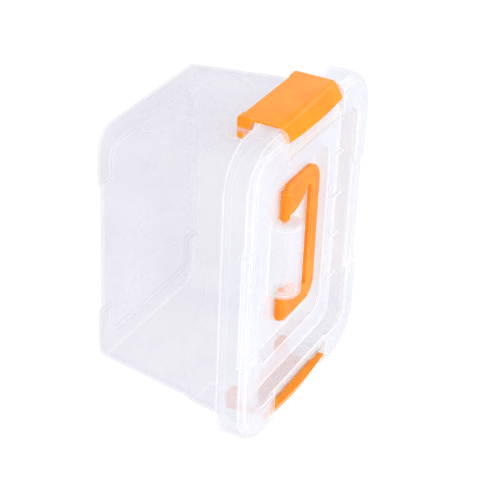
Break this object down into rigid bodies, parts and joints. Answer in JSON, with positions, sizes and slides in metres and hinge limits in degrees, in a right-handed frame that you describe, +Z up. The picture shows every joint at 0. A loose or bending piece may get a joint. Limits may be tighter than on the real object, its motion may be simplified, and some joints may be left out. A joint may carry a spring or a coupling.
{
  "type": "latching storage bin",
  "caption": "Clear box-shaped storage bin with a lift-off lid, an orange snap latch at each end and a folding carry handle sunk in the lid.",
  "frame": {"origin": "centre of the underside, on the plane that the four corner feet stand on", "axes": "+Z up through the lid, X along the bin's length from latch to latch, -Y towards the long side that the picture shows"},
  "size_m": [0.2466, 0.187, 0.1357],
  "materials": {
    "clear_tub": "clear moulded polypropylene, slightly milky",
    "clear_lid": "clear moulded polypropylene, slightly milky",
    "orange_latch": "satin orange moulded plastic",
    "orange_handle": "satin orange moulded plastic"
  },
  "bodies": {
    "tub": {"tub": "clear_tub"},
    "lid": {"lid": "clear_lid"},
    "latch_left": {"latch_left": "orange_latch"},
    "latch_right": {"latch_right": "orange_latch"},
    "handle": {"handle": "orange_handle"}
  },
  "joints": [
    {"name": "lid_lift", "type": "slide", "parent": "tub", "child": "lid", "axis": [0, 0, 1], "range_m": [0, 0.16]},
    {"name": "latch_left_hinge", "type": "hinge", "parent": "tub", "child": "latch_left", "pos_m": [-0.1087, 0, 0.0983], "axis": [0, -1, 0], "range_deg": [0, 90]},
    {"name": "latch_right_hinge", "type": "hinge", "parent": "tub", "child": "latch_right", "pos_m": [0.1087, 0, 0.0983], "axis": [0, 1, 0], "range_deg": [0, 90]},
    {"name": "handle_swing", "type": "hinge", "parent": "lid", "child": "handle", "pos_m": [0, -0.009, 0.118], "axis": [1, 0, 0], "range_deg": [0, 90]}
  ]
}
